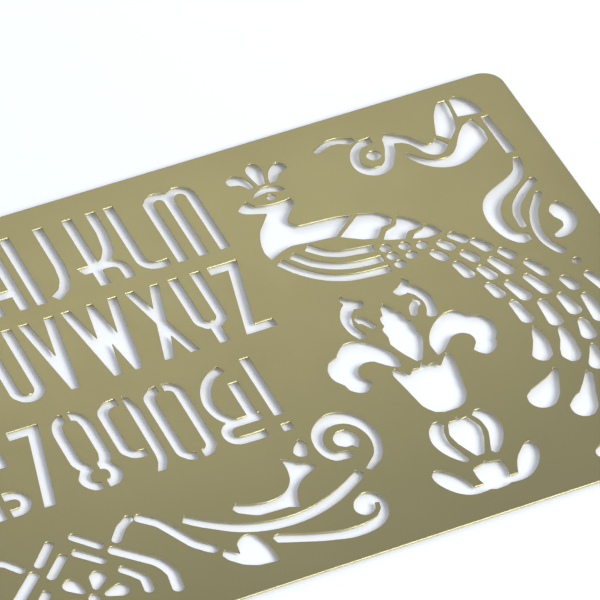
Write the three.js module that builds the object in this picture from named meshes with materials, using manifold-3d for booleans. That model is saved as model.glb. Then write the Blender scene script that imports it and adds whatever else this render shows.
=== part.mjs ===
import * as THREE from "three";
import { mergeVertices } from "three/addons/utils/BufferGeometryUtils.js";
import Module from "manifold-3d";

// Brass drawing stencil: one etched sheet with an alphabet, numerals and ornaments cut through it.
// Millimetres, +Z up, underside on Z = 0, centre of the sheet on X = Y = 0.

// Sheet
const sheetLength = 177.8;
const sheetWidth = 101.6;
const sheetThickness = 0.4;
const cornerRadius = 4;

// Lettering
const strokeWidth = 1.85;
const bridgeWidth = 1.1;
const bowlRadius = 2.3;
const capHeight = 18.1;
const figureHeight = 19.1;
const letterGap = 1.4;
const letterRowsRight = -63.2;
const figureRowRight = -71.7;
const firstRowTop = 5.5;
const rowGap = 3.4;
const figureRowGap = 5;

// Ornaments
const tulipAxis = -45;
const tulipLean = 0.016;
const tulipLeanStart = 52;
const latticeAxis = -118.2;
const dashWidth = 1.7;
const scrollWidth = 2;
const featherWidth = 1.75;
const speckRadius = 1.05;
const eyeTipWidth = 1.9;
const outerEyeTipWidth = 1.35;
const lastEyeTipWidth = 1.1;
const eyeSwell = 1.2;
const smallVoluteCentre = [-168.6, 76.6];
const smallVoluteShare = 0.6;

// Plain metal left between the artwork and the sheet's edges
const leftBorder = 4.06;
const rightBorder = 3.94;
const topBorder = 3.88;
const bottomBorder = 4.3;

// The largest distance between a curve and the straight pieces that stand for it
const chordError = 0.06;
const samplesPerSpan = 24;

// Artwork points are [x, y]: x from the sheet's right edge, so below zero, and y down from its top edge.
const halfStroke = strokeWidth / 2;

// A path from a start point through runs: a run of one point is a straight line, of more a smooth curve.
function pathThrough(start, runs) {
  const path = new THREE.Path();
  path.moveTo(start[0], start[1]);
  for (const run of runs) {
    if (run.length === 1) path.lineTo(run[0][0], run[0][1]);
    else path.splineThru(run.map(([x, y]) => new THREE.Vector2(x, y)));
  }
  return path;
}

// A path along straight lines whose corners are rounded as far as the lines' lengths allow.
function roundedPath(corners, radius) {
  const points = corners.map(([x, y]) => new THREE.Vector2(x, y));
  const path = new THREE.Path();
  path.moveTo(points[0].x, points[0].y);
  for (let i = 1; i < points.length - 1; i++) {
    const before = points[i - 1].clone().sub(points[i]);
    const after = points[i + 1].clone().sub(points[i]);
    const halfAngle = Math.acos(before.dot(after) / before.length() / after.length()) / 2;
    const roomBefore = before.length() * (i === 1 ? 1 : 0.5);
    const roomAfter = after.length() * (i === points.length - 2 ? 1 : 0.5);
    const used = Math.min(radius, Math.min(roomBefore, roomAfter) * Math.tan(halfAngle));
    const reach = used / Math.tan(halfAngle);
    before.normalize();
    after.normalize();
    const centre = before
      .clone()
      .add(after)
      .normalize()
      .multiplyScalar(used / Math.sin(halfAngle))
      .add(points[i]);
    const from = before.multiplyScalar(reach).add(points[i]).sub(centre);
    const to = after.multiplyScalar(reach).add(points[i]).sub(centre);
    const clockwise = from.cross(to) < 0;
    path.lineTo(centre.x + from.x, centre.y + from.y);
    path.absarc(centre.x, centre.y, used, from.angle(), to.angle(), clockwise);
  }
  const last = points[points.length - 1];
  path.lineTo(last.x, last.y);
  return path;
}

// How many equal steps keep an arc of this radius and sweep within the chord error
function arcSteps(radius, sweep) {
  const step = 2 * Math.acos(1 - Math.min(chordError / radius, 0.3));
  return Math.max(1, Math.ceil(Math.abs(sweep) / step));
}

// Whether a chord from one point of a fine row to a later one stays within the chord error of those between
function chordFits(points, from, to) {
  const chord = points[to].clone().sub(points[from]);
  const length = chord.length();
  for (let i = from + 1; i < to; i++) {
    const offset = points[i].clone().sub(points[from]);
    if (Math.abs(chord.cross(offset)) > chordError * length) return false;
  }
  return true;
}

// The fewest points of a curve, taken from its start, whose chords stay within the chord error.
function thinned(fine) {
  const kept = [fine[0]];
  let from = 0;
  for (let to = from + 2; to < fine.length; to++) {
    if (chordFits(fine, from, to)) continue;
    from = to - 1;
    kept.push(fine[from]);
  }
  return [...kept, fine[fine.length - 1]];
}

// Each curve of a path as a row of fine points, a straight line as its two ends
function finePointsOf(path) {
  return path.curves.map((curve) => {
    const spans = curve.isSplineCurve ? curve.points.length - 1 : 1;
    return curve.getPoints(curve.isLineCurve ? 1 : spans * samplesPerSpan);
  });
}

// One row from the rows of several curves, without the points that they share.
function joined(rows) {
  return rows.flat().filter((p, i, all) => i === 0 || p.distanceTo(all[i - 1]) > 1e-3);
}

// A closed outline drawn through runs that end where it starts.
function outline(start, ...runs) {
  const points = joined(finePointsOf(pathThrough(start, runs)).map(thinned));
  if (points[0].distanceTo(points[points.length - 1]) < 1e-3) points.pop();
  return points;
}

function circle(x, y, radius) {
  const steps = arcSteps(radius, 2 * Math.PI);
  return Array.from({ length: steps }, (_, i) => {
    const angle = (2 * Math.PI * i) / steps;
    return new THREE.Vector2(x + radius * Math.cos(angle), y + radius * Math.sin(angle));
  });
}

// The half circle that closes a round end, from one side of the line to the other.
function roundEnd(centre, side, radius) {
  const steps = arcSteps(radius, Math.PI);
  return Array.from({ length: steps - 1 }, (_, i) =>
    side
      .clone()
      .rotateAround(new THREE.Vector2(), (-Math.PI * (i + 1)) / steps)
      .multiplyScalar(radius)
      .add(centre),
  );
}

// The outline of a line drawn along a path, its width changing evenly from the first end to the second.
function line(path, startWidth = strokeWidth, endWidth = startWidth, isRound = false) {
  const rows = finePointsOf(path);
  const kept = new Set(rows.flatMap(thinned));
  const points = joined(rows);
  const normals = points.slice(1).map((p, i) => {
    const along = p.clone().sub(points[i]).normalize();
    return new THREE.Vector2(-along.y, along.x);
  });
  const lengths = [0];
  for (let i = 1; i < points.length; i++) {
    lengths.push(lengths[i - 1] + points[i].distanceTo(points[i - 1]));
  }
  const total = lengths[lengths.length - 1];
  const left = [];
  const right = [];
  points.forEach((p, i) => {
    if (!kept.has(p)) return;
    const before = normals[Math.max(i - 1, 0)];
    const after = normals[Math.min(i, normals.length - 1)];
    const mitre = before.clone().add(after).normalize();
    const half = (startWidth + ((endWidth - startWidth) * lengths[i]) / total) / 2;
    mitre.multiplyScalar(half / mitre.dot(before));
    left.push(p.clone().add(mitre));
    right.push(p.clone().sub(mitre));
  });
  if (!isRound) return [...left, ...right.reverse()];
  const last = normals[normals.length - 1];
  const endCap = roundEnd(points[points.length - 1], last, endWidth / 2);
  const startCap = roundEnd(points[0], normals[0].clone().negate(), startWidth / 2);
  return [...left, ...endCap, ...right.reverse(), ...startCap];
}

// A line of the lettering along straight pieces, its corners sharp or rounded.
function stroke(corners, radius = 0) {
  const straight = pathThrough(corners[0], corners.slice(1).map((corner) => [corner]));
  return line(radius > 0 ? roundedPath(corners, radius) : straight);
}

// A line with round ends along a smooth curve.
function brush(width, start, ...runs) {
  return line(pathThrough(start, runs), width, width, true);
}

// A teardrop that widens from its tip to its round foot: evenly or, with a swell above 1, more near the foot.
function drop(tip, foot, tipWidth, footWidth, swell = 1) {
  const from = new THREE.Vector2(...tip);
  const to = new THREE.Vector2(...foot);
  const axis = to.clone().sub(from);
  const growth = (footWidth - tipWidth) / 2;
  const radiusAt = (share) => tipWidth / 2 + growth * share ** swell;
  const slopeAt = (share) => (growth * swell * share ** (swell - 1)) / axis.length();
  const tangentAt = (share) => Math.PI / 2 + Math.asin(slopeAt(share));
  const pointAt = (share, turn) =>
    new THREE.Vector2(radiusAt(share), 0)
      .rotateAround(new THREE.Vector2(), axis.angle() + turn)
      .add(from.clone().lerp(to, share));
  const end = (share, first, last) => {
    const steps = arcSteps(radiusAt(share), last - first);
    const turn = (last - first) / steps;
    return Array.from({ length: steps + 1 }, (_, i) => pointAt(share, first + turn * i));
  };
  const between = swell > 1 ? [0.25, 0.5, 0.75] : [];
  return [
    ...end(1, -tangentAt(1), tangentAt(1)),
    ...between.toReversed().map((share) => pointAt(share, tangentAt(share))),
    ...end(0, tangentAt(0), 2 * Math.PI - tangentAt(0)),
    ...between.map((share) => pointAt(share, -tangentAt(share))),
  ];
}

function moved(cuts, x, y) {
  return cuts.map((cut) => cut.map((p) => new THREE.Vector2(p.x + x, p.y + y)));
}

function mirrored(cuts, axis) {
  return cuts.map((cut) => cut.map((p) => new THREE.Vector2(2 * axis - p.x, p.y)));
}

function scaled(cuts, centre, factor) {
  return cuts.map((cut) =>
    cut.map((p) => p.clone().sub(centre).multiplyScalar(factor).add(centre)),
  );
}

function withMirror(cuts, axis) {
  return [...cuts, ...mirrored(cuts, axis)];
}

// Each character is drawn in a box of its own width w and the row's height h, y down from the top.
// Closed counters are held by bridges, so that no island of metal falls out.
const barShare = 0.74;

function halves(w, h) {
  const end = w / 2 - bridgeWidth / 2;
  const corners = [
    [end, halfStroke],
    [halfStroke, halfStroke],
    [halfStroke, h - halfStroke],
    [end, h - halfStroke],
  ];
  return withMirror([stroke(corners, bowlRadius)], w / 2);
}

function bowl(w, top, bottom) {
  const start = strokeWidth + bridgeWidth;
  const side = w - halfStroke;
  return stroke([[start, top], [side, top], [side, bottom], [start, bottom]], bowlRadius);
}

function arch(from, to, h) {
  return stroke([[from, h], [from, halfStroke], [to, halfStroke], [to, h]], bowlRadius);
}

const glyphs = {
  A: {
    w: 7.2,
    cuts: (w, h) => [
      arch(halfStroke, w - halfStroke, h),
      stroke([[strokeWidth + bridgeWidth, h * barShare], [w - halfStroke, h * barShare]]),
    ],
  },
  B: {
    w: 6.8,
    cuts: (w, h) => [
      stroke([[halfStroke, 0], [halfStroke, h]]),
      bowl(w, halfStroke, h * 0.7),
      bowl(w, h * 0.7, h - halfStroke),
    ],
  },
  C: {
    w: 6.4,
    cuts: (w, h) => [
      stroke(
        [[w, halfStroke], [halfStroke, halfStroke], [halfStroke, h - halfStroke], [w, h - halfStroke]],
        bowlRadius,
      ),
    ],
  },
  D: {
    w: 7,
    cuts: (w, h) => [
      stroke([[halfStroke, 0], [halfStroke, h]]),
      bowl(w, halfStroke, h - halfStroke),
    ],
  },
  E: {
    w: 6.2,
    cuts: (w, h) => [
      ...glyphs.C.cuts(w, h),
      stroke([[halfStroke, h * barShare - strokeWidth], [w - 1, h * barShare - strokeWidth]]),
    ],
  },
  F: {
    w: 6.2,
    cuts: (w, h) => [
      stroke([[w, halfStroke], [halfStroke, halfStroke], [halfStroke, h]], bowlRadius),
      stroke([[halfStroke, h * barShare - strokeWidth], [w - 1, h * barShare - strokeWidth]]),
    ],
  },
  G: {
    w: 6.8,
    cuts: (w, h) => [
      stroke(
        [
          [w, halfStroke],
          [halfStroke, halfStroke],
          [halfStroke, h - halfStroke],
          [w - halfStroke, h - halfStroke],
          [w - halfStroke, h * 0.6],
        ],
        bowlRadius,
      ),
      stroke([[w * 0.5, h * 0.6 + halfStroke], [w, h * 0.6 + halfStroke]]),
    ],
  },
  H: {
    w: 6.5,
    cuts: (w, h) => [
      stroke([[halfStroke, 0], [halfStroke, h]]),
      stroke([[w - halfStroke, 0], [w - halfStroke, h]]),
      stroke([[halfStroke, h * barShare], [w - halfStroke, h * barShare]]),
    ],
  },
  I: { w: strokeWidth, cuts: (w, h) => [stroke([[halfStroke, 0], [halfStroke, h]])] },
  J: {
    w: 5,
    cuts: (w, h) => {
      const stem = w - halfStroke;
      const hook = [[stem - 0.4, h * 0.74], [stem - 1.7, h * 0.89], [0.3, h * 0.975]];
      return [line(pathThrough([stem, 0], [[[stem, h * 0.58]], hook]))];
    },
  },
  K: {
    w: 8.9,
    cuts: (w, h) => {
      const bar = h * barShare;
      const leg = w - halfStroke;
      return [
        stroke([[3.25, 0], [3.25, h]]),
        stroke([[3.25, bar], [leg, bar], [leg, h]], bowlRadius),
        line(
          pathThrough([leg - 0.2, 0], [
            [[leg - 0.2, h * 0.3]],
            [[leg - 0.8, h * 0.52], [leg - 2.3, h * 0.67], [leg - 4.4, bar + 0.1]],
          ]),
        ),
        outline(
          [0, bar - halfStroke],
          [[3, bar - halfStroke]],
          [[3, bar + halfStroke]],
          [[0.9, bar + halfStroke]],
        ),
      ];
    },
  },
  L: {
    w: 5.4,
    cuts: (w, h) => [
      stroke([[halfStroke, 0], [halfStroke, h - halfStroke], [w, h - halfStroke]], 2.6),
    ],
  },
  M: {
    w: 9.9,
    cuts: (w, h) => [
      arch(halfStroke, w / 2 - 0.1, h),
      arch(w / 2 - 0.1, w - halfStroke, h),
    ],
  },
  N: { w: 6.6, cuts: (w, h) => [arch(halfStroke, w - halfStroke, h)] },
  O: { w: 7.2, cuts: halves },
  P: {
    w: 6.8,
    cuts: (w, h) => [
      stroke([[halfStroke, 0], [halfStroke, h]]),
      bowl(w, halfStroke, h * 0.6),
    ],
  },
  Q: {
    w: 7.2,
    cuts: (w, h) => [...halves(w, h), line(pathThrough([w / 2 + 1.1, h - 4.6], [[[w + 0.2, h]]]), 1.4)],
  },
  R: {
    w: 7,
    cuts: (w, h) => [
      ...glyphs.P.cuts(w, h),
      stroke([[w * 0.5, h * 0.6], [w - halfStroke, h * 0.6], [w - halfStroke, h]], bowlRadius),
    ],
  },
  S: {
    w: 6,
    cuts: (w, h) => [
      stroke(
        [
          [w, halfStroke],
          [halfStroke, halfStroke],
          [halfStroke, h * 0.42],
          [w - halfStroke, h * 0.6],
          [w - halfStroke, h - halfStroke],
          [0, h - halfStroke],
        ],
        bowlRadius,
      ),
    ],
  },
  T: {
    w: 6.4,
    cuts: (w, h) => [
      stroke([[0, halfStroke], [w, halfStroke]]),
      stroke([[w / 2, halfStroke], [w / 2, h]]),
    ],
  },
  U: {
    w: 6.3,
    cuts: (w, h) => {
      const foot = h - halfStroke;
      const corners = [[halfStroke, 0], [halfStroke, foot], [w - halfStroke, foot], [w - halfStroke, 0]];
      return [stroke(corners, bowlRadius)];
    },
  },
  V: {
    w: 6.6,
    cuts: (w, h) => [
      outline([0, 0], [[1.8, 0]], [[w / 2 - 0.1, h * 0.54]], [[w - 1.8, 0]], [[w, 0]], [[4, h]], [[2.5, h]]),
    ],
  },
  W: {
    w: 10.5,
    cuts: (w, h) => [
      outline(
        [0, 0],
        [[1.7, 0]],
        [[3.4, h * 0.48]],
        [[4.8, 0]],
        [[5.9, 0]],
        [[7.2, h * 0.48]],
        [[w - 1.7, 0]],
        [[w, 0]],
        [[7.8, h]],
        [[6.4, h]],
        [[5.2, h * 0.56]],
        [[3.9, h]],
        [[2.5, h]],
      ),
    ],
  },
  X: {
    w: 6.6,
    spaceAfter: 0.3,
    cuts: (w, h) => [
      outline(
        [0.2, 0],
        [[1.8, 0]],
        [[3.3, h * 0.31]],
        [[4.9, 0]],
        [[w, 0]],
        [[4.2, h * 0.5]],
        [[w, h]],
        [[4.9, h]],
        [[3.4, h * 0.7]],
        [[1.8, h]],
        [[0, h]],
        [[2.3, h * 0.51]],
      ),
    ],
  },
  Y: {
    w: 6.1,
    spaceAfter: -0.35,
    cuts: (w, h) => {
      const fork = h * barShare;
      const corners = [[halfStroke, 0], [halfStroke, fork], [w - halfStroke, fork], [w - halfStroke, 0]];
      return [
        stroke(corners, bowlRadius),
        stroke([[w / 2, fork], [w / 2, h]]),
      ];
    },
  },
  Z: {
    w: 6.1,
    cuts: (w, h) => [
      outline(
        [0.4, 0],
        [[w, 0]],
        [[2.3, h - 2]],
        [[w - 0.3, h - 2]],
        [[w - 0.3, h]],
        [[0, h]],
        [[3.7, 2]],
        [[0.4, 2]],
      ),
    ],
  },
  1: {
    w: 3.4,
    cuts: (w, h) => [
      stroke([[w - halfStroke, 0], [w - halfStroke, h]]),
      outline([0, 2.2], [[w - strokeWidth + 0.1, 0]], [[w - strokeWidth + 0.1, 2.4]], [[0, 4.2]]),
    ],
  },
  2: {
    w: 6.4,
    cuts: (w, h) => [
      stroke(
        [
          [halfStroke, h * 0.24],
          [halfStroke, halfStroke],
          [w - halfStroke, halfStroke],
          [w - halfStroke, h * 0.42],
          [halfStroke, h * 0.74],
          [halfStroke, h - halfStroke],
          [w, h - halfStroke],
        ],
        bowlRadius,
      ),
    ],
  },
  3: {
    w: 6.2,
    cuts: (w, h) => {
      const waist = h * 0.68;
      const side = w - halfStroke;
      return [
        stroke([[0, halfStroke], [side, halfStroke], [side, waist], [w * 0.3, waist]], bowlRadius),
        stroke([[w * 0.3, waist], [side, waist], [side, h - halfStroke], [0, h - halfStroke]], bowlRadius),
      ];
    },
  },
  4: {
    w: 6.8,
    cuts: (w, h) => [
      stroke([[halfStroke, 0], [halfStroke, h * barShare], [w, h * barShare]], bowlRadius),
      stroke([[w - 2.2, h * 0.4], [w - 2.2, h]]),
    ],
  },
  5: {
    w: 6.4,
    cuts: (w, h) => [
      stroke([[w, halfStroke], [halfStroke, halfStroke], [halfStroke, h * 0.5]]),
      stroke(
        [
          [halfStroke, h * 0.45],
          [w - halfStroke, h * 0.45],
          [w - halfStroke, h - halfStroke],
          [0, h - halfStroke],
        ],
        bowlRadius,
      ),
    ],
  },
  6: {
    w: 7.1,
    cuts: (w, h) => [
      stroke(
        [
          [w - halfStroke - 0.5, h * 0.4],
          [w - halfStroke - 0.5, halfStroke],
          [halfStroke, halfStroke],
          [halfStroke, h],
        ],
        bowlRadius,
      ),
      bowl(w, h - halfStroke - 4, h - halfStroke),
    ],
  },
  7: {
    w: 6.4,
    cuts: (w, h) => [
      outline([0.7, 0.2], [[w, 0.2]], [[w, 0.6]], [[2.1, h]], [[0, h]], [[4, 2.2]], [[0.6, 2.2]]),
    ],
  },
  8: {
    w: 7.4,
    cuts: (w, h) => {
      const end = w / 2 - bridgeWidth / 2;
      const waist = h * 0.71;
      const half = outline(
        [end, 0],
        [[2.3, 0], [1.1, 1.1], [0.3, 2.9], [0.1, 5.4]],
        [[0.1, waist - 2.4]],
        [[0.4, waist - 1], [1, waist]],
        [[0.1, waist + 1.4], [-0.1, waist + 2.8], [0.6, h - 1.2], [1.8, h - 0.2], [end, h]],
        [[end, h - strokeWidth]],
        [[2.3, h - 2.2], [2, h - 3.2], [2.3, h - 4.2], [end, h - 4.5]],
        [[end, waist - 0.7]],
        [[2.4, waist - 1.4], [2, waist - 2.7]],
        [[2, 4.1]],
        [[2.3, 2.5], [end, strokeWidth]],
        [[end, 0]],
      );
      return withMirror([half], w / 2);
    },
  },
  9: {
    w: 7.2,
    cuts: (w, h) => [
      stroke(
        [[4.2, halfStroke], [halfStroke, halfStroke], [halfStroke, h * 0.73], [4.2, h * 0.73]],
        bowlRadius,
      ),
      outline(
        [w - 1.7, 0],
        [[w - 0.7, 1.2], [w, 3.6]],
        [[w - 0.1, h - 4.2]],
        [[w - 0.5, h - 2], [w - 1.6, h]],
        [[w - 3.2, h]],
        [[w - 2.2, h - 2], [w - 1.9, h - 4.2]],
        [[w - 1.8, 1]],
        [[w - 1.7, 0]],
      ),
    ],
  },
  0: { w: 7.4, cuts: halves },
  "&": {
    w: 8.7,
    cuts: (w, h) => {
      const bar = h * 0.728;
      const foot = h - halfStroke - 0.1;
      return [
        line(
          pathThrough([6.4, 0.8], [
            [[4.1, 1.8], [2.1, 4.1], [1, 7.7], [1.6, 11.2], [3.5, bar]],
          ]),
        ),
        stroke([[w - 0.5, bar], [1, bar], [1, foot], [w - 1.4, foot]], 1.9),
        stroke([[w - 1.9, h * 0.245], [w - 1.9, bar]]),
      ];
    },
  },
  "!": {
    w: strokeWidth,
    cuts: (w, h) => [
      stroke([[halfStroke, 0], [halfStroke, h * 0.785]]),
      stroke([[halfStroke, h - strokeWidth], [halfStroke, h]]),
    ],
  },
};

// A row of characters set from its right end.
function row(text, top, right, height) {
  const cuts = [];
  let edge = right;
  for (const character of [...text].reverse()) {
    const { w, cuts: draw, spaceAfter = 0 } = glyphs[character];
    edge -= w + spaceAfter;
    cuts.push(...moved(draw(w, height), edge, top));
    edge -= letterGap;
  }
  return cuts;
}

const secondRowTop = firstRowTop + capHeight + rowGap;
const thirdRowTop = secondRowTop + capHeight + figureRowGap;
const lettering = [
  ...row("ABCDEFGHIJKLM", firstRowTop, letterRowsRight, capHeight),
  ...row("NOPQRSTUVWXYZ", secondRowTop, letterRowsRight - 0.4, capHeight),
  ...row("1234567890&!", thirdRowTop, figureRowRight, figureHeight),
];

// Peafowl: crest, head and body, the folded back, three long feathers and the eyes of the train
function peafowl() {
  const crest = [
    outline(
      [-54.2, 11.4],
      [[-54.7, 10.4], [-55.5, 9.7], [-56.7, 9.4], [-57.2, 8.5], [-56.8, 7.5], [-55.6, 7]],
      [[-54.3, 7.8], [-53.4, 9.3], [-53, 11.4]],
      [[-54.2, 11.4]],
    ),
    outline(
      [-52.2, 11.2],
      [
        [-52.7, 8.9],
        [-52.8, 7.1],
        [-52.3, 5.9],
        [-51.3, 5.3],
        [-50.3, 6],
        [-50, 7.4],
        [-50.3, 9.2],
        [-50.9, 11.2],
      ],
      [[-52.2, 11.2]],
    ),
    outline(
      [-50, 11.4],
      [
        [-49.6, 9.6],
        [-48.6, 7.9],
        [-47.1, 6.9],
        [-45.9, 7.5],
        [-45.6, 8.7],
        [-46.4, 9.4],
        [-47.8, 9.9],
        [-48.8, 11.4],
      ],
      [[-50, 11.4]],
    ),
    outline(
      [-54.5, 13.9],
      [[-53.6, 12.7], [-51.3, 11.9], [-49.3, 12.5], [-48.2, 13.9]],
      [[-49.5, 14.1], [-51.4, 13.4], [-53, 13.6], [-54.5, 13.9]],
    ),
  ];
  const head = [circle(-51.4, 14.9, 0.8)];
  const body = outline(
    [-58.3, 15.9],
    [[-57.3, 14.9], [-56, 14.3], [-55, 15.9]],
    [[-52.8, 16.4], [-50.6, 16.6], [-48.4, 16.3]],
    [[-48.3, 17.7], [-49.5, 19.3], [-50.9, 20.8], [-51.2, 22.2], [-50.1, 23.6]],
    [[-47, 23.9], [-43.5, 24.1], [-40.2, 24.9]],
    [[-43, 27.1], [-45.2, 28.8]],
    [[-48.8, 28.5], [-52.8, 27.9], [-55.6, 28.5], [-58, 29.8]],
    [[-58.4, 27.8], [-58, 25.2], [-56.8, 22.2], [-55, 19.9], [-53.8, 18.5]],
    [[-55.8, 17.8], [-57.6, 16.9], [-58.3, 15.9]],
  );
  const back = [
    outline(
      [-39.2, 25],
      [[-36.9, 25.7], [-35.1, 26.9], [-34.1, 28.7]],
      [[-35.1, 29.7], [-36.8, 29.9], [-37.6, 30.9], [-38.8, 32.2]],
      [[-41.3, 31.4], [-44.6, 29.2]],
      [[-42, 27.3], [-39.2, 25]],
    ),
    outline(
      [-33.2, 28.2],
      [[-31.5, 29.5], [-30.4, 31], [-29.9, 32.2]],
      [[-31.5, 32.7], [-32.9, 32.7], [-33.6, 33.4], [-34.3, 34.3]],
      [[-36.1, 33.8], [-37.9, 33]],
      [[-36.4, 31.1], [-34.2, 30.2], [-33.2, 28.2]],
    ),
    outline(
      [-29.4, 32.2],
      [[-28.2, 33.3], [-27.6, 35.4]],
      [[-30.6, 35.6], [-33.2, 34.7]],
      [[-32, 33.6], [-30.6, 33.3], [-29.4, 32.2]],
    ),
  ];
  const feathers = [
    [[-51.2, 29.3], [-49, 31.6], [-45.8, 33.3], [-40.4, 34.2]],
    [[-54.4, 30.1], [-51.9, 33.3], [-48.4, 35.7], [-44.4, 36.9], [-40, 37.2]],
    [[-57.1, 30.8], [-54.9, 34.1], [-51.2, 37.5], [-46.4, 39.5], [-39.9, 40.1]],
  ].map(([start, ...rest]) => line(pathThrough(start, [rest]), featherWidth));
  const specks = [
    [-38.5, 35.1],
    [-35.2, 35.9],
    [-38.2, 37.4],
    [-32.3, 37],
    [-35, 38.5],
    [-37.8, 39.8],
  ].map(([x, y]) => circle(x, y, speckRadius));
  return [...crest, ...head, body, ...back, ...feathers, ...specks];
}

// The eyes of the train, row by row outwards: tip, foot and width. The largest lean over like commas.
function train() {
  const largeComma = outline(
    [-20, 76.8],
    [
      [-19.3, 77.5],
      [-19.7, 79.2],
      [-20.6, 81.3],
      [-21.3, 83.6],
      [-22.2, 85.6],
      [-23.6, 86.9],
      [-25.3, 86.8],
      [-26.5, 85.4],
      [-26.4, 83.4],
      [-25.2, 82.1],
      [-23.5, 81.1],
      [-22, 79.4],
      [-21, 77.9],
      [-20, 76.8],
    ],
  );
  const eyes = [
    [[-26.3, 36.9], [-25, 38.5], 2.15],
    [[-28.9, 38], [-27.9, 39.4], 2.05],
    [[-31.1, 39.8], [-30.2, 41.3], 2.05],
    [[-23.3, 40], [-22.1, 42.1], 2.35],
    [[-26.3, 42], [-25.3, 43.7], 2.15],
    [[-28.7, 44.1], [-28, 46.9], 2.35],
    [[-20, 44.1], [-19.1, 45.7], 2.15],
    [[-22.6, 45.5], [-21.2, 48.8], 2.55],
    [[-25.3, 46.7], [-24.5, 48.9], 2.35],
    [[-17.1, 48.6], [-15.7, 51.8], 2.25],
    [[-25.9, 51.2], [-25.3, 53.6], 2.35],
    [[-22.6, 52.1], [-21.4, 55.9], 2.55],
    [[-18.8, 51.9], [-17.4, 55.9], 2.55],
    [[-13.2, 54.9], [-12.5, 57.1], 2.35],
    [[-24, 56.9], [-23.6, 61.1], 2.55],
    [[-19.4, 58.7], [-19.3, 63.6], 2.8],
    [[-15.6, 58.6], [-15.1, 62.5], 2.65],
    [[-11.7, 60.3], [-11.8, 65.8], 2.7],
    [[-15.1, 65.8], [-15.5, 68.9], 2.9],
    [[-8.8, 55.6], [-7.5, 59.4], 2.45],
    [[-7.5, 63.6], [-7.8, 68.4], 2.7],
  ].map(([tip, foot, width]) => drop(tip, foot, eyeTipWidth, width));
  const outerEyes = [
    [[-16.2, 72], [-17.4, 76], 3.1],
    [[-11.6, 70.6], [-12.8, 76.1], 3],
    [[-7.9, 72.8], [-9, 78.5], 3.2],
  ].map(([tip, foot, width]) => drop(tip, foot, outerEyeTipWidth, width, eyeSwell));
  const commas = [
    outline(
      [-23.6, 63.3],
      [
        [-22.9, 64.4],
        [-22.75, 66.6],
        [-22.8, 68.6],
        [-23.4, 70.7],
        [-24.8, 71.95],
        [-26.3, 71.4],
        [-26.9, 70],
        [-26.3, 68.6],
        [-25.3, 67],
        [-24.6, 65],
        [-23.6, 63.3],
      ],
    ),
    outline(
      [-19.4, 65.2],
      [
        [-18.6, 66],
        [-18.35, 68],
        [-18.5, 70.5],
        [-18.9, 72.6],
        [-20, 74],
        [-21.4, 73.8],
        [-22.2, 72.2],
        [-21.9, 70.6],
        [-20.8, 68.5],
        [-20.2, 66.3],
        [-19.4, 65.2],
      ],
    ),
    outline(
      [-24.9, 73.9],
      [
        [-24.4, 74.6],
        [-24.9, 76.2],
        [-25.8, 78.2],
        [-27, 80.4],
        [-28.4, 81.9],
        [-30.1, 82.3],
        [-31.7, 81.5],
        [-32.4, 79.9],
        [-32, 78.2],
        [-30.5, 77],
        [-28.4, 76.2],
        [-26.5, 75.2],
        [-24.9, 73.9],
      ],
    ),
    largeComma,
    ...moved([largeComma], 5.6, 2.8),
    ...moved([largeComma], 11.6, 4.6),
  ];
  const lastEye = drop([-20.3, 93.2], [-26, 95.7], lastEyeTipWidth, 3.2, eyeSwell);
  return [...eyes, ...outerEyes, ...commas, lastEye];
}

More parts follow.
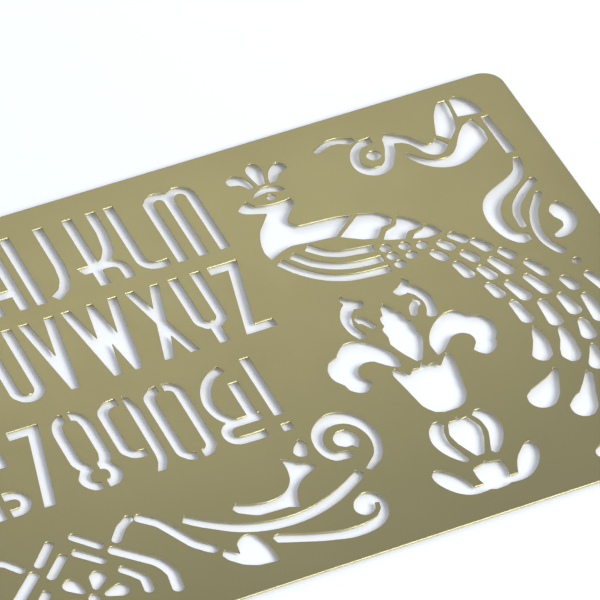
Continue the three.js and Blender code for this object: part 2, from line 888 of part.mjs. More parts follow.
// Spray of scrolls and leaves along the top right corner
function spray() {
  return [
    line(pathThrough([-38.9, 7.3], [[[-36.9, 6.3], [-34.7, 6.1], [-32.5, 7]]]), 1.3, 1.8, true),
    circle(-30.1, 12.3, 1.3),
    outline(
      [-28.8, 7.5],
      [
        [-31.2, 7.8],
        [-33.4, 9.6],
        [-34.6, 12.6],
        [-34.2, 15.4],
        [-32.4, 17.1],
        [-30.2, 17.4],
        [-28.1, 16.2],
        [-26.4, 13.6],
        [-25.4, 10.9],
      ],
      [
        [-23.9, 11.4],
        [-22.5, 12.9],
        [-21.7, 14.8],
        [-20.5, 16.3],
        [-18.9, 16.8],
        [-17.5, 16.1],
        [-16.5, 14.7],
      ],
      [[-18, 12.7]],
      [[-19, 13.5], [-20.1, 13.4], [-21.1, 12.3], [-22.2, 10.4], [-24, 8.8], [-25.9, 7.7]],
      [
        [-27, 9.3],
        [-27.5, 11.5],
        [-28.6, 13.9],
        [-30, 15.2],
        [-31.6, 15.1],
        [-32.8, 13.7],
        [-32.6, 11.6],
        [-31.2, 9.7],
        [-28.8, 9.3],
      ],
      [[-28.8, 7.5]],
    ),
    outline(
      [-12, 4.2],
      [[-13.7, 4.3], [-15.2, 6.3], [-16.5, 9.2], [-17.5, 12]],
      [[-15.6, 14]],
      [[-13.6, 11.8], [-12.5, 8.5], [-12, 4.2]],
    ),
    outline(
      [-11.3, 4.3],
      [[-10.1, 3.9], [-8.5, 5.1], [-7.4, 7.2], [-7.1, 9.8]],
      [[-9.6, 9.5], [-11.8, 9.1]],
      [[-11.6, 6.8], [-11.3, 4.3]],
    ),
    outline(
      [-24.4, 13.9],
      [
        [-22.8, 16],
        [-20.7, 17.6],
        [-18.2, 18],
        [-15.9, 16.6],
        [-14, 13.8],
        [-12, 11.5],
        [-9.8, 10.7],
      ],
      [[-9.1, 13.5], [-9.4, 16.8]],
      [[-12.3, 18.6], [-14.8, 20.2], [-17.9, 20.8], [-21, 19.8], [-23.5, 17.5], [-24.9, 14.9]],
      [[-24.4, 13.9]],
    ),
    line(pathThrough([-7.4, 10.9], [[[-7.1, 21.5]]]), 1.4, 1.9),
    outline(
      [-7.6, 23],
      [
        [-8.7, 25.4],
        [-10.5, 27],
        [-13.5, 28.3],
        [-16.4, 30],
        [-18.3, 32.7],
        [-19, 36.2],
        [-18.6, 39.7],
        [-17.4, 42.3],
        [-15.7, 43.8],
        [-13.9, 43.5],
      ],
      [[-13.8, 42], [-14.7, 41.2]],
      [
        [-15.8, 40.2],
        [-16.2, 36.9],
        [-15.4, 33.9],
        [-13.3, 31.6],
        [-10.5, 30],
        [-8.3, 28.2],
        [-6.9, 25.9],
        [-6.5, 23.2],
      ],
      [[-7.6, 23]],
    ),
    line(
      pathThrough([-7.1, 29.8], [[[-9.8, 31.7], [-12.3, 34.2], [-13.5, 36.9], [-13.8, 39.6]]]),
      1.7,
      1.3,
      true,
    ),
    line(
      pathThrough([-7.7, 33.4], [[[-9.7, 36], [-11.3, 39.2], [-12, 42.7], [-11.6, 45.8], [-10.4, 48.1]]]),
      1.4,
      1.8,
      true,
    ),
    outline(
      [-5.5, 36.2],
      [[-6.9, 36.8], [-7.9, 38.2], [-7.8, 39.8], [-7.1, 41.1], [-7.3, 42.6], [-9.6, 43.8]],
      [[-9.8, 44.7], [-8.7, 45.2], [-6.7, 44.8], [-4.9, 43.2], [-4, 40.9], [-4.2, 38.4], [-5.5, 36.2]],
    ),
    circle(-9.2, 51.6, 0.85),
  ];
}

// Tulip with its bud and leaves, drawn right of its axis and mirrored. Its lower part leans to the left.
function tulip() {
  const side = [
    outline(
      [5.8, 42.8],
      [[5.3, 43.9], [4.3, 44.8], [3.2, 45.3], [3, 46.1], [3.6, 47], [4.5, 47.1], [5.2, 46.9]],
      [[6.1, 47.9], [6.7, 49.7], [6.6, 51.6], [5.9, 53.2], [6.3, 54], [7.3, 54.1]],
      [[8.1, 52.6], [8.5, 50.5], [8.4, 48.5], [7.5, 46.3], [6.3, 45]],
      [[6.6, 44.1], [5.8, 42.8]],
    ),
    outline(
      [6.2, 49.6],
      [
        [6, 50.5],
        [5.2, 51.1],
        [4.6, 52.3],
        [3.9, 52.7],
        [3.3, 52.1],
        [3.7, 50.7],
        [4.7, 49.3],
        [5.6, 48.7],
        [6.2, 49.6],
      ],
    ),
    outline(
      [3.5, 63.2],
      [[3.3, 60.5], [4.3, 57.8], [6.4, 55.4], [8.8, 54.1], [11.1, 54.4], [12.8, 56.4]],
      [[14.6, 57.2], [15.7, 59.5], [15.4, 61.8], [14.3, 63.4]],
      [[14, 64.8], [12.7, 66], [11.2, 66.2], [9.7, 64.4]],
      [[10.7, 63.1], [11, 61.5], [10.3, 60.3], [8.9, 59.7], [7.2, 60.2], [5.9, 61.6], [4.9, 62.5]],
      [[3.5, 63.2]],
    ),
    outline(
      [2.6, 78.7],
      [[3.2, 77.9], [4.2, 77.7], [5.1, 78.3], [6, 79.9], [6.4, 82.1], [5.9, 84.4], [4.7, 86.6], [3.3, 88.2]],
      [[2.5, 88.4], [2.1, 87.6]],
      [[2.8, 85.8], [3.5, 83.6], [3.6, 81.5], [3.3, 80], [2.6, 78.7]],
    ),
  ];
  const rightHalves = [
    [
      [0, 47.6],
      [[0.9, 48.7], [1.2, 50.2]],
      [[2, 50.8], [2.1, 52.8]],
      [[2.8, 53.6], [2.6, 55.8]],
      [[3, 57.4]],
      [[1.9, 60.4], [0.5, 63]],
    ],
    [
      [0, 63.6],
      [[0.8, 64.7]],
      [[1.8, 64.5], [2.9, 65.5]],
      [[4, 64.2], [4.8, 63.3], [5.5, 63.6]],
      [[5.7, 64.9], [5.2, 67.2], [4.8, 70], [4.2, 73], [2.9, 75.3], [1.3, 76.1]],
    ],
    [
      [0, 77.9],
      [[0.6, 78.7]],
      [[1.5, 78.6], [2.2, 79.4], [2.8, 81.6], [2.5, 83.7], [1.6, 86], [0.7, 87.8]],
    ],
    [
      [0, 89.3],
      [[0.7, 89.8], [1.4, 90]],
      [[2.3, 90.2], [2.8, 91], [2.7, 92.5], [2.4, 94.2]],
      [[4.1, 94.2]],
      [[4.8, 92.2], [6.1, 90.1], [7.7, 88.5], [9, 88.1]],
      [[9.8, 89.2], [9.5, 91.2], [8.1, 93.6], [6.1, 95.4], [3.9, 96], [1.9, 95.8]],
      [[1, 96.2]],
    ],
  ];
  const middle = rightHalves.map(([start, ...runs]) => {
    const half = outline(start, ...runs);
    const other = half.slice(1).reverse().map((p) => new THREE.Vector2(-p.x, p.y));
    return [...half, ...other];
  });
  const lean = (p) => new THREE.Vector2(p.x - tulipLean * Math.max(0, p.y - tulipLeanStart), p.y);
  return moved([...withMirror(side, 0), ...middle], tulipAxis, 0).map((cut) => cut.map(lean));
}

// Small volute, also the last piece of the scroll on the other side of the lattice
function volute() {
  return [
    outline(
      [-64.7, 82.7],
      [
        [-63.2, 81.4],
        [-61.7, 79.7],
        [-61, 77.2],
        [-61.3, 74.6],
        [-62.6, 72.3],
        [-64.6, 71.3],
        [-66.8, 71.6],
        [-68.3, 73.2],
        [-68.6, 75.3],
        [-67.7, 77.2],
        [-65.7, 77.7],
      ],
      [[-65.2, 78.9], [-66.2, 79.5]],
      [
        [-68.3, 79.2],
        [-69.8, 77.6],
        [-70.4, 75],
        [-69.9, 72],
        [-68.1, 69.6],
        [-65.5, 68.4],
        [-62.8, 68.9],
        [-60.4, 71.1],
        [-59.3, 74.3],
        [-59.5, 78],
        [-61.2, 81.6],
        [-64, 83.5],
      ],
      [[-64.7, 82.7]],
    ),
    outline(
      [-63.8, 77.8],
      [[-64.4, 76.9], [-65.7, 76.8], [-66.8, 75.7], [-66.8, 74.1], [-65.7, 73], [-64.2, 72.9]],
      [[-63, 74], [-62.7, 75.9], [-63.8, 77.8]],
    ),
  ];
}

// Flowing scroll with its heart, drop and curled foot
function scroll() {
  return [
    outline(
      [-72.2, 71.8],
      [[-73.6, 73.1], [-74.3, 74.6], [-73.6, 75.8], [-72.4, 75.9], [-71.8, 74.6], [-71.5, 73], [-72.2, 71.8]],
    ),
    outline(
      [-88.1, 81.4],
      [[-86, 82.5], [-83.4, 83.1], [-81, 82.9], [-78.9, 81.8], [-77.5, 80], [-76.9, 77.6], [-77, 74.9]],
      [[-75.6, 75.7], [-74.2, 77.2]],
      [[-72.9, 77.6], [-72.2, 78.4], [-72.3, 79.1]],
      [[-74.5, 80.1], [-76.4, 81.5], [-77.7, 83.4], [-78.6, 86.5]],
      [[-80.4, 85.7], [-82.7, 85.7], [-85.6, 85.4], [-88.2, 83.9], [-89.1, 82.4], [-88.1, 81.4]],
    ),
    outline(
      [-97.1, 80.3],
      [
        [-93.6, 83.2],
        [-89.5, 85.7],
        [-84.7, 87.3],
        [-79.6, 87.6],
        [-74.7, 86.6],
        [-70.3, 84.7],
        [-66.4, 82.4],
      ],
      [[-65.5, 83.5], [-66.4, 84.8]],
      [
        [-70.4, 87.2],
        [-75, 89],
        [-80, 89.8],
        [-85.2, 89.4],
        [-90.2, 87.7],
        [-94.5, 84.9],
        [-98.1, 81.8],
      ],
      [[-97.1, 80.3]],
    ),
    outline(
      [-94.1, 90.4],
      [[-93.2, 91], [-92.1, 92.2]],
      [[-91.8, 90.3], [-90.8, 89], [-89.3, 88.6], [-88.1, 89.3], [-87.2, 91.4], [-86.8, 94], [-86.9, 96.3]],
      [[-89.8, 96], [-92.5, 94.8], [-94.5, 92.8]],
      [[-95, 91.5], [-94.1, 90.4]],
    ),
    outline(
      [-84.5, 90.7],
      [[-80, 92.6], [-75, 94.1], [-71, 94.4], [-68, 93.7], [-66.4, 92.3], [-66, 90.9]],
      [[-66.7, 90.6]],
      [
        [-67.2, 91.9],
        [-68.6, 92.8],
        [-70, 92.2],
        [-70.5, 90.6],
        [-69.4, 88.6],
        [-67.3, 87.8],
        [-65.6, 88.7],
        [-64.8, 90.8],
        [-65.5, 93.7],
        [-67.6, 95.8],
        [-70.7, 96.6],
        [-74.3, 96.4],
        [-79.4, 94.9],
        [-85.4, 92.5],
      ],
      [[-85.7, 91.5], [-85.3, 90.8], [-84.5, 90.7]],
    ),
  ];
}

// Lattice of crossing bands, drawn right of its axis and mirrored, with a plain rosette inside
function lattice() {
  const rightSide = [
    brush(dashWidth, [2.2, 77.4], [[5.4, 80.9]]),
    brush(dashWidth, [12.2, 77.3], [[10.3, 78.6], [8.6, 80.8]]),
    brush(dashWidth, [1.3, 81], [[4.5, 84.2]]),
    brush(scrollWidth, [7.2, 82.9], [[10.3, 85.8], [12.9, 88.6], [14, 91.7], [13.6, 95]]),
    brush(scrollWidth, [14.1, 77.9], [[16.4, 80.1], [18.2, 83.4], [20, 86.8], [22.4, 89.3]]),
    brush(dashWidth, [9.1, 93.4], [[9.2, 90.6], [6.9, 87.6]]),
  ];
  const petals = Array.from({ length: 6 }, (_, i) => {
    const angle = (Math.PI * (2 * i + 1)) / 6;
    const point = (radius) => [radius * Math.sin(angle), 91.6 - radius * Math.cos(angle)];
    return drop(point(2.5), point(4.8), 1.2, 2.9);
  });
  return moved([...withMirror(rightSide, 0), ...petals, circle(0, 91.6, 1)], latticeAxis, 0);
}

// The scroll runs on both sides of the lattice. Its volute is smaller on the left, where there is less room.
const leftVolute = scaled(
  mirrored(volute(), latticeAxis),
  new THREE.Vector2(...smallVoluteCentre),
  smallVoluteShare,
);
const artwork = [
  ...lettering,
  ...peafowl(),
  ...train(),
  ...spray(),
  ...tulip(),
  ...lattice(),
  ...scroll(),
  ...volute(),
  ...mirrored(scroll(), latticeAxis),
  ...leftVolute,
];

const wasm = await Module();
wasm.setup();

function solidFrom(geometry) {
  const bare = geometry.index ? geometry.toNonIndexed() : geometry.clone();
  bare.deleteAttribute("normal");
  bare.deleteAttribute("uv");
  const merged = mergeVertices(bare, 1e-4);
  return new wasm.Manifold(
    new wasm.Mesh({
      numProp: 3,
      vertProperties: merged.attributes.position.array,
      triVerts: new Uint32Array(merged.index.array),
    }),
  );
}

function geometryFrom(solid) {
  const mesh = solid.getMesh();
  const geometry = new THREE.BufferGeometry();
  geometry.setAttribute("position", new THREE.BufferAttribute(mesh.vertProperties, 3));
  geometry.setIndex(new THREE.BufferAttribute(mesh.triVerts, 1));
  return geometry;
}

// The box that holds all the artwork is fitted between the borders, whatever the sheet's size.
const field = new THREE.Box2().setFromPoints(artwork.flat());
const fitX = (sheetLength - leftBorder - rightBorder) / (field.max.x - field.min.x);
const fitY = (sheetWidth - topBorder - bottomBorder) / (field.max.y - field.min.y);

function onSheet(point) {
  return new THREE.Vector2(
    sheetLength / 2 - rightBorder - (field.max.x - point.x) * fitX,
    sheetWidth / 2 - topBorder - (point.y - field.min.y) * fitY,
  );
}

// A cutter through the whole thickness.
function cutter(points) {
  const geometry = new THREE.ExtrudeGeometry(new THREE.Shape(points.map(onSheet)), {
    depth: sheetThickness * 3,
    bevelEnabled: false,
  });
  geometry.translate(0, 0, -sheetThickness);
  return solidFrom(geometry);
}

function blankSheet() {
  const x = sheetLength / 2 - cornerRadius;
  const y = sheetWidth / 2 - cornerRadius;
  const shape = new THREE.Shape();
  [[x, y], [-x, y], [-x, -y], [x, -y]].forEach(([cx, cy], i) => {
    shape.absarc(cx, cy, cornerRadius, (i * Math.PI) / 2, ((i + 1) * Math.PI) / 2);
  });
  const geometry = new THREE.ExtrudeGeometry(shape, {
    depth: sheetThickness,
    bevelEnabled: false,
    curveSegments: arcSteps(cornerRadius, Math.PI / 2),
  });
  return solidFrom(geometry);
}

const cutters = wasm.Manifold.union(artwork.map(cutter));
const etched = blankSheet().subtract(cutters);
const geometry = geometryFrom(etched).toNonIndexed();
geometry.computeVertexNormals();

const sheet = new THREE.Mesh(
  geometry,
  new THREE.MeshStandardMaterial({ color: 0xa59e70, roughness: 0.38, metalness: 0.9 }),
);
sheet.name = "stencil_sheet";

const stencil = new THREE.Group();
stencil.add(sheet);

export default stencil;
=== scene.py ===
"""A brass drawing stencil, one etched sheet just above a white floor, in soft studio light.

The sheet's outlines are read from the frame's node and drawn again as smooth curves, with
small eased corners and an etched edge.
"""

import math

import bpy
from mathutils import Matrix, Vector
from mathutils.geometry import delaunay_2d_cdt


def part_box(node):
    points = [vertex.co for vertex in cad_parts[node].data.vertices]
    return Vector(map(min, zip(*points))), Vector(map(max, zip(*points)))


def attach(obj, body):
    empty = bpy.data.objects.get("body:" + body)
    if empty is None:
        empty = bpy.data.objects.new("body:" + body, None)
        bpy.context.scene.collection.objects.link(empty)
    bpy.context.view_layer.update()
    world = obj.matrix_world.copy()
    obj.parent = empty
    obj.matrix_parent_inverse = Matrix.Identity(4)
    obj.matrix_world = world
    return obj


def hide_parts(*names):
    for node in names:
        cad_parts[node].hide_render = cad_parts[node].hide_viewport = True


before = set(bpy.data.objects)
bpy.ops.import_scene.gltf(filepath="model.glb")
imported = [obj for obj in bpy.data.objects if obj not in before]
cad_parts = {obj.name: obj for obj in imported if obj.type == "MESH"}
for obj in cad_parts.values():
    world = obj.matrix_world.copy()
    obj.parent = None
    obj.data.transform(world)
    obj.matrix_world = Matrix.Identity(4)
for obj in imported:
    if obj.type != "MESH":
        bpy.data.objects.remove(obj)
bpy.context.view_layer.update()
scene = bpy.context.scene
MM = 0.001

# Reading the node's upper face, in metres
KEY_DIGITS = 7  # decimals that two mentions of the same point share
LEVEL_ERROR = 1e-6
LEAST_UPWARD = 0.5  # z of the normal of a face that looks up

# Telling curves from straight lines and corners, with angles in radians
FLAT_TURN = 0.004  # a point that turns less lies on a straight line
SHARP_TURN = 1.2  # a point that turns more is a corner
CHORD_ERROR = 0.075 * MM  # the node's curves stand off their chords by less than this

# Drawing the curves
STEP_ANGLE = math.radians(7)
STEP_SLACK = 0.01  # of a step, too little to take one step more for
LEAST_COS_SQUARED = 0.3  # keeps the handles of a very sharp turn short
SAME_POINT = 0.01 * MM
CORNER_RADIUS = 0.1 * MM
CORNER_SHARE = 0.45  # of an edge's length, the most that an eased corner takes

# The eased edge, and how it narrows towards a sharp tip of metal
EASED = 0.05 * MM
LEAST_BEND = 0.02  # radians
STRAIGHT_RADIUS = 1.0  # metres, for a point that bends less
TIP_REACH = 1.0 * MM  # how far along the outline a tip is felt
TIP_GROWTH = 0.06  # room gained per length away from the tip
TIP_SHARE = 0.6  # of the room, what the easing may take

# The wall of a cut-out, etched from both faces: hollow halves that meet in a crest halfway down
# Height below the face as a share of the thickness, distance into the metal, tilt in degrees
WALL = [
    (0.0, EASED, 90),
    (0.03, 0.036 * MM, 52),
    (0.10, 0.030 * MM, 24),
    (0.25, 0.024 * MM, 30),
    (0.38, 0.014 * MM, 40),
    (0.47, 0.004 * MM, 50),
    (0.5, 0.0, 0),
    (0.53, 0.004 * MM, -50),
    (0.62, 0.014 * MM, -40),
    (0.75, 0.024 * MM, -30),
    (0.90, 0.030 * MM, -24),
    (0.97, 0.036 * MM, -52),
    (1.0, EASED, -90),
]

# Filling the faces between the outlines
FILL_SCALE = 1000  # millimetres, in which the filling is exact enough
FILL_INSIDE = 1  # Blender's number for triangles inside the outlines only
FILL_ERROR = 1e-7

# Brass, in linear colours
BRASS_DULL = (0.352, 0.322, 0.158)
BRASS_BRIGHT = (0.388, 0.353, 0.173)
BRASS_GRAIN = (0.45, 0.41, 0.22)
# The walls' paler colour is a painted highlight, not a colour of the metal
BRASS_WALL_HIGHLIGHT = (0.52, 0.48, 0.28)
GRAIN_SCALE = (900.0, 6000.0, 6000.0)  # long along X, the rolling direction
GRAIN_TINT = 0.12
GRAIN_RELIEF = 0.5

# The floor's tilt stands for the real sheet's slight bow: the gap is least at the lower left
FLOOR_SIZE = 6
FLOOR_GAP = 0.72 * MM  # under the sheet's middle
FLOOR_SLOPE_X = 0.0042
FLOOR_SLOPE_Y = 0.002
FLOOR_COLOUR = (0.92, 0.92, 0.93, 1)
FLOOR_GLOW = 0.12

# The world's light, and what the camera, mirrors and glass see in its place:
# white round the horizon, a duller ceiling above, by the height of the direction
AMBIENT_COLOUR = (0.75, 0.83, 1.0, 1)
AMBIENT_STRENGTH = 0.55
BACKDROP = [(0.0, (1.0, 1.0, 1.0)), (0.25, (0.50, 0.51, 0.60))]

# The photograph's view, fitted to the sheet's edges and rows of letters
CAMERA_RIGHT = Vector((0.90888, -0.41696, 0.00877))
CAMERA_UP = Vector((0.28256, 0.63112, 0.72240))
CAMERA_PLACE = Vector((-0.26295, -0.61736, 0.66335))
SENSOR_WIDTH = 36
FOCAL_LENGTH = 330.58
CLIP_START = 0.01

sheet_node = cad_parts["stencil_sheet"]
sheet_low, sheet_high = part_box("stencil_sheet")
THICKNESS = sheet_high.z - sheet_low.z


def face_loops(mesh, level):
    """Closed rows of points round the flat face at this height, the metal on their left."""
    keys = [tuple(round(c, KEY_DIGITS) for c in v.co) for v in mesh.vertices]
    edges = set()
    for polygon in mesh.polygons:
        points = [keys[i] for i in polygon.vertices]
        off_level = any(abs(p[2] - level) > LEVEL_ERROR for p in points)
        if off_level or polygon.normal.z < LEAST_UPWARD:
            continue
        edges.update(zip(points, points[1:] + points[:1]))
    follow = {a: b for a, b in edges if (b, a) not in edges}
    loops = []
    while follow:
        start, point = follow.popitem()
        loop = [Vector(start[:2])]
        while point != start:
            loop.append(Vector(point[:2]))
            point = follow.pop(point)
        loops.append(loop)
    return loops


def triples(loop):
    """Each point of a closed row, between the one before it and the one after it."""
    return zip(loop[-1:] + loop[:-1], loop, loop[1:] + loop[:1])


def turn(a, b, c):
    """The angle by which a row of points turns at b, to the left above zero."""
    return -(b - a).angle_signed(c - b)


def bow(length, angle):
    """How far an arc that turns by this angle stands off its chord."""
    return length * math.tan(abs(angle) / 4) / 2


def find_corners(turns, lengths):
    """Which points turn too sharply to lie on one of the node's curves."""
    return [
        min(bow(lengths[i - 1], turns[i]), bow(lengths[i], turns[i])) > CHORD_ERROR
        or abs(turns[i]) > SHARP_TURN
        for i in range(len(turns))
    ]


def find_straights(turns, lengths, corner):
    """Which edges are straight lines and not chords of a curve."""
    straight = []
    for i in range(len(turns)):
        ends = (i, (i + 1) % len(turns))
        stiff = [bow(lengths[i], turns[e]) > CHORD_ERROR for e in ends if not corner[e]]
        straight.append(any(stiff) or all(corner[e] for e in ends))
    return straight


def find_tangents(loop, lengths, corner, straight):
    """The directions in which the outline reaches each point and leaves it."""
    tangents = []
    for i, (a, b, c) in enumerate(triples(loop)):
        before = (b - a).normalized()
        after = (c - b).normalized()
        if corner[i]:
            tangents.append((before, after))
        elif straight[i - 1]:
            tangents.append((before, before))
        elif straight[i]:
            tangents.append((after, after))
        else:
            mean = (before * lengths[i] + after * lengths[i - 1]).normalized()
            tangents.append((mean, mean))
    return tangents


def curve_points(start, out, end, into):
    """Points of a smooth curve that leaves start along out and reaches end along into."""
    length = (end - start).length
    angle = abs(out.angle(into))
    handle = length / 3 / max(math.cos(angle / 4) ** 2, LEAST_COS_SQUARED)
    a, b = start + out * handle, end - into * handle
    steps = max(1, math.ceil(angle / STEP_ANGLE - STEP_SLACK))
    points = []
    for k in range(steps + 1):
        t = k / steps
        s = 1 - t
        points.append(start * s**3 + a * 3 * s * s * t + b * 3 * s * t * t + end * t**3)
    return points


def fine_edges(loop, corner, straight, tangents):
    """Each edge as a row of points, along its curve where it isn't straight."""
    rows = []
    for i in range(len(loop)):
        j = (i + 1) % len(loop)
        if straight[i]:
            rows.append([loop[i], loop[j]])
            continue
        out, into = tangents[i][1], tangents[j][0]
        along = (loop[j] - loop[i]).normalized()
        # A curve that ends at a corner is an arc, the same at both ends
        if corner[i]:
            out = 2 * into.dot(along) * along - into
        if corner[j]:
            into = 2 * out.dot(along) * along - out
        rows.append(curve_points(loop[i], out, loop[j], into))
    return rows


def cut_back(row, reach):
    """The row of points without its first stretch of this length."""
    for k in range(len(row) - 1):
        step = (row[k + 1] - row[k]).length
        if reach < step:
            return [row[k].lerp(row[k + 1], reach / step)] + row[k + 1:]
        reach -= step
    return row[-2:]


def make_room(rows, turns, corner):
    """Shorten the rows at the corners, where small arcs will join them."""
    rooms = [
        CORNER_SHARE * sum((b - a).length for a, b in zip(row, row[1:])) for row in rows
    ]
    for i in range(len(rows)):
        if corner[i]:
            half = (math.pi - abs(turns[i])) / 2
            reach = min(CORNER_RADIUS / math.tan(half), rooms[i - 1], rooms[i])
            rows[i - 1] = cut_back(rows[i - 1][::-1], reach)[::-1]
            rows[i] = cut_back(rows[i], reach)


def join(rows, corner):
    """The rows as one closed row of points, with an arc at each corner."""
    points = []
    for i, row in enumerate(rows):
        if corner[i]:
            before = rows[i - 1]
            out = (before[-1] - before[-2]).normalized()
            into = (row[1] - row[0]).normalized()
            points += curve_points(before[-1], out, row[0], into)[:-1]
        points += row[:-1]
    return points


def without_doubles(points):
    """The closed row without points that all but coincide."""
    kept = [points[0]]
    for p in points[1:]:
        if (p - kept[-1]).length > SAME_POINT:
            kept.append(p)
    if (kept[-1] - kept[0]).length <= SAME_POINT:
        kept.pop()
    return kept


def smooth_loop(loop):
    """The loop's curves drawn finely, its straight lines kept and its corners eased."""
    loop = [b for a, b, c in triples(loop) if abs(turn(a, b, c)) > FLAT_TURN]
    turns = [turn(a, b, c) for a, b, c in triples(loop)]
    lengths = [(c - b).length for a, b, c in triples(loop)]
    corner = find_corners(turns, lengths)
    straight = find_straights(turns, lengths, corner)
    tangents = find_tangents(loop, lengths, corner, straight)
    rows = fine_edges(loop, corner, straight, tangents)
    make_room(rows, turns, corner)
    return without_doubles(join(rows, corner))


def sides(loop):
    """At each point the direction into the metal, shorter near a sharp tip of metal."""
    count = len(loop)
    means, radii, lengths = [], [], []
    for a, b, c in triples(loop):
        means.append(((b - a).normalized() + (c - b).normalized()).normalized())
        lengths.append((c - b).length)
        bend = turn(a, b, c)
        shorter = min((b - a).length, (c - b).length)
        radii.append(shorter / bend if bend > LEAST_BEND else STRAIGHT_RADIUS)
    result = []
    for i in range(count):
        room = radii[i]
        for step in (-1, 1):
            j, way = i, 0.0
            while way < TIP_REACH and abs(j - i) < count:
                way += lengths[(j if step > 0 else j - 1) % count]
                j += step
                room = min(room, radii[j % count] + way * TIP_GROWTH)
        side = Vector((-means[i].y, means[i].x))
        result.append(side * min(1.0, room * TIP_SHARE / EASED))
    return result


def wall_points(loop):
    """The points and normals of the wall along a loop, one ring for each row of WALL."""
    points, normals = [], []
    directions = sides(loop)
    for share, inward, tilt in WALL:
        level = math.radians(tilt)
        for p, side in zip(loop, directions):
            q = p + side * inward
            flat = side.normalized()
            points.append((q.x, q.y, sheet_high.z - share * THICKNESS))
            normals.append(
                (-flat.x * math.cos(level), -flat.y * math.cos(level), math.sin(level))
            )
    return points, normals


def wall_faces(start, count):
    """The faces between the rings of a wall that begins at this vertex."""
    faces = []
    for ring in range(len(WALL) - 1):
        top, low = start + ring * count, start + (ring + 1) * count
        for i in range(count):
            j = (i + 1) % count
            faces.append((top + i, low + i, low + j, top + j))
    return faces


def flat_faces(vertices, starts, counts):
    """The triangles of both flat faces, between the walls' first and last rings."""
    points, owners, rings = [], [], []
    for start, count in zip(starts, counts):
        rings.append(list(range(len(points), len(points) + count)))
        for i in range(count):
            points.append(Vector(vertices[start + i][:2]) * FILL_SCALE)
            owners.append((start + i, start + (len(WALL) - 1) * count + i))
    areas = [
        sum(points[a].cross(points[b]) for a, b in zip(ring, ring[1:] + ring[:1]))
        for ring in rings
    ]
    outer = areas.index(max(areas))
    order = [rings[outer]] + [ring[::-1] for k, ring in enumerate(rings) if k != outer]
    _, _, triangles, from_points, _, from_rings = delaunay_2d_cdt(
        points, [], order, FILL_INSIDE, FILL_ERROR, True
    )
    faces = []
    for triangle, inside in zip(triangles, from_rings):
        # The metal lies inside the outer ring, number 0, and inside no other
        if list(inside) != [0]:
            continue
        own = [owners[from_points[v][0]] for v in triangle]
        faces.append(tuple(top for top, low in own))
        faces.append(tuple(low for top, low in reversed(own)))
    return faces


def build_sheet():
    loops = [smooth_loop(loop) for loop in face_loops(sheet_node.data, sheet_high.z)]
    vertices, normals, starts = [], [], []
    for loop in loops:
        starts.append(len(vertices))
        loop_points, loop_normals = wall_points(loop)
        vertices += loop_points
        normals += loop_normals
    counts = [len(loop) for loop in loops]
    faces = []
    for start, count in zip(starts, counts):
        faces += wall_faces(start, count)
    faces += flat_faces(vertices, starts, counts)
    mesh = bpy.data.meshes.new("stencil_sheet_fine")
    mesh.from_pydata(vertices, [], faces)
    mesh.polygons.foreach_set("use_smooth", [True] * len(mesh.polygons))
    mesh.normals_split_custom_set_from_vertices(normals)
    mesh.update()
    return mesh


class Nodes:
    """Short calls for building a node tree."""

    # Sockets of a mix node for colours
    MIX_SHARE, MIX_FIRST, MIX_SECOND, MIX_RESULT = 0, 6, 7, 2

    def __init__(self, tree):
        self.tree = tree
        tree.nodes.clear()

    def add(self, kind, inputs=None, **settings):
        """A new node, its inputs linked where a socket is given and set otherwise."""
        node = self.tree.nodes.new(kind)
        for name, value in settings.items():
            setattr(node, name, value)
        for name, value in (inputs or {}).items():
            socket = node.inputs[name]
            if isinstance(value, bpy.types.NodeSocket):
                self.tree.links.new(value, socket)
            else:
                socket.default_value = value
        return node

    def ramp(self, fac, stops):
        """A colour between the two stops, each a place and a colour."""
        node = self.add("ShaderNodeValToRGB", {"Fac": fac})
        for element, (place, colour) in zip(node.color_ramp.elements, stops):
            element.position = place
            element.color = (*colour, 1)
        return node.outputs["Color"]

    def math(self, operation, a, b=0.0):
        return self.add("ShaderNodeMath", {0: a, 1: b}, operation=operation).outputs[0]

    def mix(self, share, socket, colour):
        """The socket's colour with this share of the other."""
        inputs = {self.MIX_SHARE: share, self.MIX_FIRST: socket, self.MIX_SECOND: (*colour, 1)}
        node = self.add("ShaderNodeMix", inputs, data_type="RGBA")
        return node.outputs[self.MIX_RESULT]


def node_material(name):
    """A new material, with the short calls for its nodes."""
    material = bpy.data.materials.new(name)
    material.use_nodes = True
    return material, Nodes(material.node_tree)


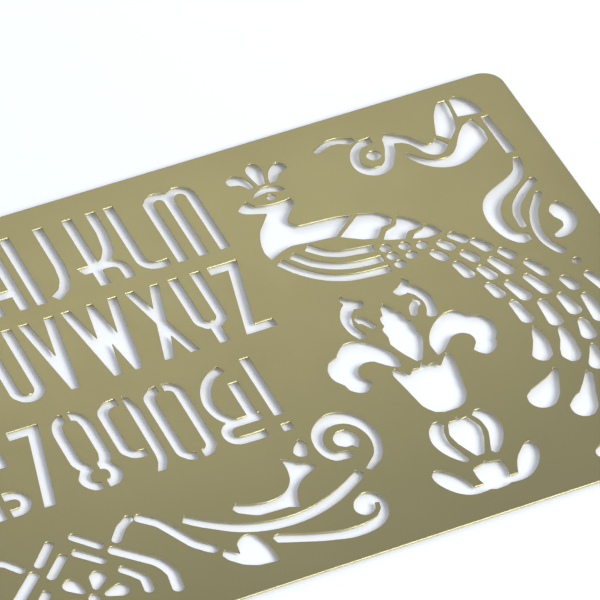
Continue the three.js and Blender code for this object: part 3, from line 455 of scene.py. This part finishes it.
def brass():
    material, n = node_material("etched_brass")
    place = n.add("ShaderNodeTexCoord").outputs["Object"]
    # Slow changes of tone, as the rolled sheet's thin tarnish has
    cloud = n.add(
        "ShaderNodeTexNoise",
        {"Vector": place, "Scale": 22.0, "Detail": 3.0, "Roughness": 0.5},
    )
    tone = n.ramp(cloud.outputs["Fac"], [(0.3, BRASS_DULL), (0.7, BRASS_BRIGHT)])
    # Fine grain along the rolling direction
    stretched = n.add("ShaderNodeMapping", {"Vector": place, "Scale": GRAIN_SCALE})
    grain = n.add(
        "ShaderNodeTexNoise",
        {"Vector": stretched.outputs["Vector"], "Scale": 1.0, "Detail": 2.0},
    ).outputs["Fac"]
    tone = n.mix(n.math("MULTIPLY", grain, GRAIN_TINT), tone, BRASS_GRAIN)
    # Etched walls painted paler than the faces: a painted highlight along every wall
    normal = n.add("ShaderNodeTexCoord").outputs["Normal"]
    upward = n.add("ShaderNodeSeparateXYZ", {"Vector": normal}).outputs["Z"]
    wall_highlight = n.add(
        "ShaderNodeMapRange",
        {"Value": n.math("ABSOLUTE", upward), "From Min": 0.97, "From Max": 0.5},
    )
    tone = n.mix(wall_highlight.outputs["Result"], tone, BRASS_WALL_HIGHLIGHT)
    # Uneven gloss, and a faint relief from the grain and the same patches
    patches = n.add(
        "ShaderNodeTexNoise", {"Vector": place, "Scale": 90.0, "Detail": 4.0}
    ).outputs["Fac"]
    rough = n.add("ShaderNodeMapRange", {"Value": patches, "To Min": 0.33, "To Max": 0.43})
    relief = n.math("ADD", n.math("MULTIPLY", grain, GRAIN_RELIEF), patches)
    bump = n.add(
        "ShaderNodeBump", {"Height": relief, "Strength": 0.06, "Distance": 0.2 * MM}
    )
    shader = n.add(
        "ShaderNodeBsdfPrincipled",
        {
            "Base Color": tone,
            "Metallic": 1.0,
            "Roughness": rough.outputs["Result"],
            "Normal": bump.outputs["Normal"],
        },
    )
    n.add("ShaderNodeOutputMaterial", {"Surface": shader.outputs["BSDF"]})
    return material


def seen_rays(n):
    """One for the rays that show the backdrop: those of the camera, of mirrors and of glass."""
    rays = n.add("ShaderNodeLightPath").outputs
    both = n.math("MAXIMUM", rays["Is Camera Ray"], rays["Is Glossy Ray"])
    return n.math("MAXIMUM", both, rays["Is Transmission Ray"])


def floor_material():
    material, n = node_material("paper_floor")
    white = n.add("ShaderNodeBsdfDiffuse", {"Color": FLOOR_COLOUR})
    strength = n.math("MULTIPLY", seen_rays(n), FLOOR_GLOW)
    glow = n.add("ShaderNodeEmission", {"Color": (1, 1, 1, 1), "Strength": strength})
    both = n.add("ShaderNodeAddShader", {0: white.outputs[0], 1: glow.outputs[0]})
    n.add("ShaderNodeOutputMaterial", {"Surface": both.outputs[0]})
    return material


def studio_world():
    world = bpy.data.worlds.new("studio")
    world.use_nodes = True
    n = Nodes(world.node_tree)
    ambient = n.add(
        "ShaderNodeBackground", {"Color": AMBIENT_COLOUR, "Strength": AMBIENT_STRENGTH}
    )
    direction = n.add("ShaderNodeTexCoord").outputs["Generated"]
    height = n.add("ShaderNodeSeparateXYZ", {"Vector": direction}).outputs["Z"]
    backdrop = n.ramp(height, BACKDROP)
    shown = n.add("ShaderNodeBackground", {"Color": backdrop, "Strength": 1.0})
    pick = n.add(
        "ShaderNodeMixShader",
        {0: seen_rays(n), 1: ambient.outputs[0], 2: shown.outputs[0]},
    )
    n.add("ShaderNodeOutputWorld", {"Surface": pick.outputs[0]})
    return world


def soft_box(name, place, aim, size, watts, colour):
    """A rectangular lamp that the camera doesn't see."""
    data = bpy.data.lights.new(name, "AREA")
    data.shape = "RECTANGLE"
    data.size, data.size_y = size
    data.energy = watts
    data.color = colour
    lamp = bpy.data.objects.new(name, data)
    scene.collection.objects.link(lamp)
    lamp.visible_camera = False
    lamp.location = place
    lamp.rotation_euler = (Vector(aim) - Vector(place)).to_track_quat("-Z", "Y").to_euler()


sheet = bpy.data.objects.new("stencil_sheet_fine", build_sheet())
scene.collection.objects.link(sheet)
sheet.data.materials.append(brass())
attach(sheet, "root")
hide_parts("stencil_sheet")

bpy.ops.mesh.primitive_plane_add(
    size=FLOOR_SIZE,
    location=(0, 0, -FLOOR_GAP),
    rotation=(-FLOOR_SLOPE_Y, FLOOR_SLOPE_X, 0),
)
floor = bpy.context.object
floor.name = "floor"
floor.data.materials.append(floor_material())

scene.view_settings.view_transform = "Standard"
scene.world = studio_world()
soft_box(
    "key",
    place=(0.36, -0.62, 0.62),
    aim=(0.03, 0, 0),
    size=(0.42, 0.42),
    watts=7.1,
    colour=(0.97, 1.0, 1.0),
)
# A low, warm lamp that is mirrored in the sheet's upper half
soft_box(
    "panel",
    place=(0.083, 0.163, 0.15),
    aim=(0.083, 0.162, 0),
    size=(0.18, 0.059),
    watts=0.052,
    colour=(1.0, 0.95, 0.83),
)

camera_data = bpy.data.cameras.new("camera")
camera_data.sensor_width = SENSOR_WIDTH
camera_data.lens = FOCAL_LENGTH
camera_data.clip_start = CLIP_START
camera = bpy.data.objects.new("camera", camera_data)
scene.collection.objects.link(camera)
camera_back = CAMERA_RIGHT.cross(CAMERA_UP)
turned = Matrix((CAMERA_RIGHT, CAMERA_UP, camera_back)).transposed().to_4x4()
camera.matrix_world = Matrix.Translation(CAMERA_PLACE) @ turned
scene.camera = camera
